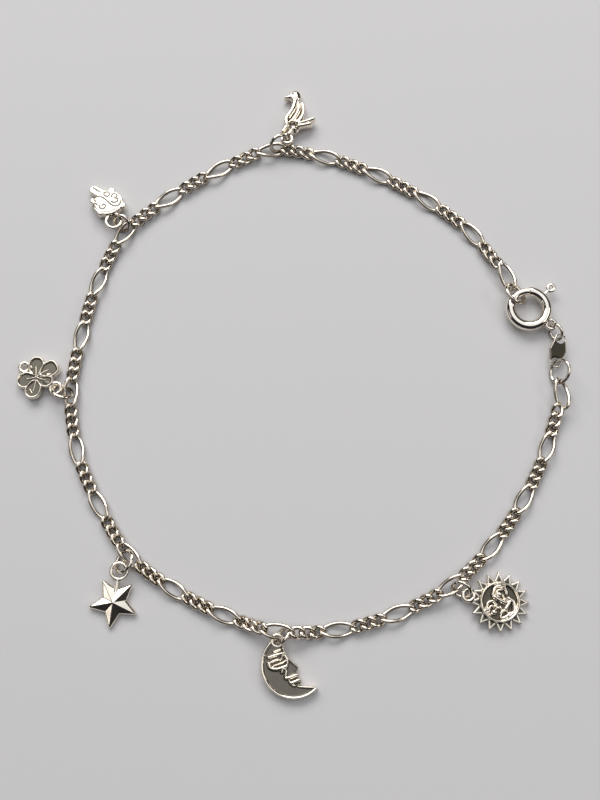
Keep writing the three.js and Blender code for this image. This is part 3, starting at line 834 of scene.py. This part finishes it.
# The dark colour of oxide, also used for painted shade and a painted dark reflection.
DARK_OXIDE_AND_SHADE = (0.05, 0.045, 0.033, 1.0)
SILVERS = {
    "chain": silver("chain_polish", (0.92, 0.82, 0.69, 1.0), DARK_OXIDE_AND_SHADE, (0.09, 0.16)),
    "ring": silver("ring_polish", (0.93, 0.84, 0.72, 1.0), DARK_OXIDE_AND_SHADE, (0.07, 0.14)),
    "charm": silver("charm_polish", (0.93, 0.85, 0.73, 1.0), DARK_OXIDE_AND_SHADE, (0.09, 0.16)),
    "clasp": silver("clasp_polish", (0.94, 0.87, 0.77, 1.0), DARK_OXIDE_AND_SHADE, (0.05, 0.11)),
    "tag": silver("tag_polish", (0.9, 0.84, 0.74, 1.0), DARK_OXIDE_AND_SHADE, (0.08, 0.16)),
}


def show_silver(name, piece, kind, nodes=None, body="bracelet"):
    show(name, piece, SILVERS[kind], nodes or [name.removesuffix("_shown")], body)


# The chain, the charms and their rings.
def show_chain():
    first, last = (0, END_LINKS["first_z"]), (len(ROUTE) - 1, END_LINKS["last_z"])
    carriers = [first, *(row[1:3] for row in HANGERS), last]
    for k, (before, after) in enumerate(zip(carriers, carriers[1:]), 1):
        show_silver(f"chain_run_{k}_shown", run_piece(before, after), "chain")


def show_hangers():
    flats = {"bird": bird, "turtle": turtle, "flower": flower, "star": star, "moon": moon, "sun": sun}
    for name, link, link_z, ring, radius, tilt, turn, loop, faces in HANGERS:
        middle, along, outwards = station(link)
        show_silver(f"link_{name}_shown", link_piece(CARRIER, middle + UP * link_z, along), "chain")
        lift = radius * abs(math.sin(math.radians(tilt))) + RING_WIRE + REST
        ring_at = middle + along * ring[0] + outwards * ring[1] + UP * lift
        turn = math.radians(turn)
        towards = outwards * math.cos(turn) + along * math.sin(turn)
        show_silver(f"ring_{name}_shown", ring_piece(ring_at, radius, RING_WIRE, towards, tilt), "ring")
        loop_at = middle + along * loop[0] + outwards * loop[1] + UP * loop[2]
        charm = charm_piece(name, flats[name])
        show_silver(f"charm_{name}_shown", carry(charm, *charm_place(name, loop_at, faces)), "charm")


# The clasp and the tag.
def spring_field(x, y, z):
    tube = torus(x, y, z, ORIGIN, SPRING["radius"], SPRING["tube"])
    eye = torus(x, y, z, EYE["reach"] * level(EYE["angle"]), EYE["radius"], EYE["wire"])
    solid = joined(tube, eye, 0.12)
    solid = both(solid, -sector(x, y, *GAP) + 0 * z, 0.04)
    slot = sector(x, y, BOLT["trigger"] - BOLT["travel"] - SLOT["margin"], BOLT["trigger"] + SLOT["margin"])
    slot = np.maximum(slot, SLOT["inner"] - np.hypot(x, y))
    slot = np.maximum(slot + 0 * z, np.abs(z) - SLOT["height"] / 2)
    bore = torus(x, y, z, ORIGIN, SPRING["radius"], SPRING["bore"])
    return np.maximum(solid, -np.minimum(slot, bore))


def bolt_field(x, y, z):
    middle = (BOLT["from"] + BOLT["to"]) / 2
    half = math.radians((BOLT["to"] - BOLT["from"]) / 2)
    axis = level(middle)
    turned_x, turned_y = x * axis[0] + y * axis[1], y * axis[0] - x * axis[1]
    off = np.clip(np.arctan2(turned_y, turned_x), -half, half)
    near_x, near_y = SPRING["radius"] * np.cos(off), SPRING["radius"] * np.sin(off)
    wire = np.sqrt((turned_x - near_x) ** 2 + (turned_y - near_y) ** 2 + z**2) - BOLT["wire"]
    out = level(BOLT["trigger"])
    knob_at = out * BOLT["reach"]
    stem = stroke(x, y, [out[:2] * SPRING["radius"], knob_at[:2] - out[:2] * KNOB["radius"]])
    knob = torus(x, y, z, knob_at, KNOB["radius"], KNOB["wire"])
    trigger = joined(np.hypot(stem, z) - BOLT["stem"], knob, 0.08)
    return joined(wire, trigger, 0.06)


def tag_plate(x, y):
    end, wide, long = TAG["end"], TAG["wide"], TAG["long"]
    corners = [(-end, -long), (end, -long), (wide, 0), (end, long), (-end, long), (-wide, 0)]
    return polygon(x, y, corners)


def tag_outline(x, y):
    outline = tag_plate(x, y)
    for side in (-1, 1):
        hole = disc(x, y, (0, side * TAG_HOLE["reach"]), TAG_HOLE["radius"])
        outline = both(outline, -hole, 0.03)
    return outline


# Painted dark reflection: the face of the tag is darkened inside its bevelled edge.
def tag_painted_dark_reflection(x, y):
    return ease(-tag_plate(x, y), TAG_RIM["bright"], TAG_RIM["dark"])


def tag_field(x, y, z):
    outline = tag_outline(x, y)
    half = TAG["thick"] / 2
    slab = np.abs(z) - half
    bevel = (outline + slab + TAG_RIM["bevel"]) * math.sqrt(0.5)
    return np.maximum(np.maximum(outline, slab), bevel)


def show_clasp():
    reach, tall = SPRING["radius"] + SPRING["tube"], SPRING["tube"]
    right, front = 0.7, 0.3  # room for the eye
    ring = surface(spring_field, (-reach, -reach - front, -tall), (reach + right, reach, tall))
    show_silver("spring_ring_shown", carry(ring, np.eye(3), np.array(SPRING["at"])), "clasp")
    tall = BOLT["wire"]
    bolt = surface(bolt_field, (-2.4, 0.2, -tall), (3.4, 3.4, tall))
    show_silver("bolt_shown", carry(bolt, np.eye(3), np.array(SPRING["at"])), "clasp", body="bolt")

    wide, long, tall = TAG["wide"], TAG["long"], 0.2
    tag = surface(tag_field, (-wide, -long, -tall), (wide, long, tall), tag_painted_dark_reflection)
    face = level(TAG["heading"] - 90)
    around = np.array([[face[0], -face[1], 0], [face[1], face[0], 0], [0, 0, 1]])
    show_silver("tag_shown", carry(tag, around, np.array(TAG["at"])), "tag")


def show_end_rings():
    clasp_at = np.array(CLASP_RING["at"])
    towards = level(CLASP_RING["towards"])
    clasp_ring = ring_piece(clasp_at, CLASP_RING["radius"], RING_WIRE, towards, CLASP_RING["tilt"])
    show_silver("clasp_ring_shown", clasp_ring, "ring")

    eye_at = np.array(SPRING["at"]) + EYE["reach"] * level(EYE["angle"])
    hole_at = np.array(TAG["at"]) + TAG_HOLE["reach"] * level(TAG["heading"])
    middle = (eye_at + hole_at) / 2
    middle[2] = TAG_RING["radius"] * math.sin(math.radians(TAG_RING["tilt"])) + TAG_RING["wire"] + REST
    towards = unit((hole_at - eye_at) * (1, 1, 0))
    tag_ring = ring_piece(middle, TAG_RING["radius"], TAG_RING["wire"], towards, TAG_RING["tilt"])
    show_silver("tag_ring_shown", tag_ring, "ring")

    end_at = np.array(END_RING["at"])
    last = np.append(ROUTE[-1], END_LINKS["last_z"])
    towards = unit((last - end_at) * (1, 1, 0))
    end_ring = ring_piece(end_at, END_RING["radius"], END_RING["wire"], towards, END_RING["tilt"])
    show_silver("end_ring_shown", end_ring, "ring")
    turn = math.radians(END_LINKS["turn"])
    aside = -towards * math.cos(turn) - np.cross(UP, towards) * math.sin(turn)
    show_silver("end_link_b_shown", link_piece(CARRIER, last, aside), "chain")

    first = np.append(ROUTE[0], END_LINKS["first_z"])
    away = unit((first - clasp_at) * (1, 1, 0))
    show_silver("end_link_a_shown", link_piece(CARRIER, first, away), "chain")


# The stage: table, light and camera.
def show_table():
    bpy.ops.mesh.primitive_plane_add(size=2.0)
    table = bpy.context.object
    table.name = "table"
    material = bpy.data.materials.new("table_cloth")
    material.use_nodes = True
    tree = material.node_tree
    shader = tree.nodes["Principled BSDF"]
    shader.inputs["Roughness"].default_value = 0.75
    shader.inputs["Base Color"].default_value = (0.66, 0.645, 0.64, 1.0)
    table.data.materials.append(material)


def area_light(name, azimuth, elevation, distance, width, height, power, colour):
    """A softbox that faces the middle of the bracelet."""
    light = bpy.data.lights.new(name, "AREA")
    light.shape = "RECTANGLE"
    light.size, light.size_y = width, height
    light.energy = power
    light.color = colour
    lamp = bpy.data.objects.new(name, light)
    bpy.context.collection.objects.link(lamp)
    flat = math.cos(math.radians(elevation))
    out = Vector((*(level(azimuth)[:2] * flat), math.sin(math.radians(elevation))))
    lamp.location = out * distance
    lamp.rotation_euler = out.to_track_quat("Z", "Y").to_euler()


SKY_AXIS = (0.0, 0.24, 0.97)  # the middle of the bright ceiling, which level metal mirrors to the camera
SKY = [
    # cosine of the angle from that middle, brightness
    (0.0, 0.02),
    (0.76, 0.03),
    (0.86, 1.08),
    (1.0, 1.12),
]


def light_scene():
    # name, azimuth, elevation, distance, width, height in metres, power, colour
    area_light("window", 104, 40, 0.7, 0.8, 0.34, 4.0, (1.0, 0.995, 0.985))
    area_light("panel_right", 0, 38, 0.4, 0.24, 0.1, 0.2, (1.0, 0.985, 0.96))
    area_light("panel_left", 185, 26, 0.4, 0.2, 0.05, 0.05, (1.0, 0.97, 0.93))
    world = bpy.data.worlds.new("studio")
    bpy.context.scene.world = world
    world.use_nodes = True
    tree = world.node_tree
    place = tree.nodes.new("ShaderNodeTexCoord").outputs["Generated"]
    towards = tree.nodes.new("ShaderNodeVectorMath")
    towards.operation = "DOT_PRODUCT"
    towards.inputs[1].default_value = SKY_AXIS
    tree.links.new(place, towards.inputs[0])
    ramp = tree.nodes.new("ShaderNodeValToRGB")
    for stop, _ in SKY[1:-1]:
        ramp.color_ramp.elements.new(stop)
    for element, (stop, bright) in zip(ramp.color_ramp.elements, SKY):
        element.position = stop
        element.color = (bright * 0.97, bright * 0.99, bright * 1.03, 1.0)
    tree.links.new(towards.outputs["Value"], ramp.inputs["Fac"])
    tree.links.new(ramp.outputs["Color"], tree.nodes["Background"].inputs["Color"])


CAMERA = {"elevation": 76.0, "distance": 132.2, "lens": 50.85, "sensor": 36.0}


def place_camera():
    camera = bpy.data.cameras.new("camera")
    camera.lens = CAMERA["lens"]
    camera.sensor_width = CAMERA["sensor"]
    camera.clip_start = 0.005
    holder = bpy.data.objects.new("camera", camera)
    bpy.context.collection.objects.link(holder)
    tall = math.radians(CAMERA["elevation"])
    back = Vector((0, -math.cos(tall), math.sin(tall)))
    holder.location = Vector(SHIFT) * MM + back * CAMERA["distance"] * MM
    holder.rotation_euler = back.to_track_quat("Z", "Y").to_euler()
    bpy.context.scene.camera = holder
    bpy.context.scene.view_settings.view_transform = "Standard"


show_chain()
show_hangers()
show_clasp()
show_end_rings()
show_table()
light_scene()
place_camera()
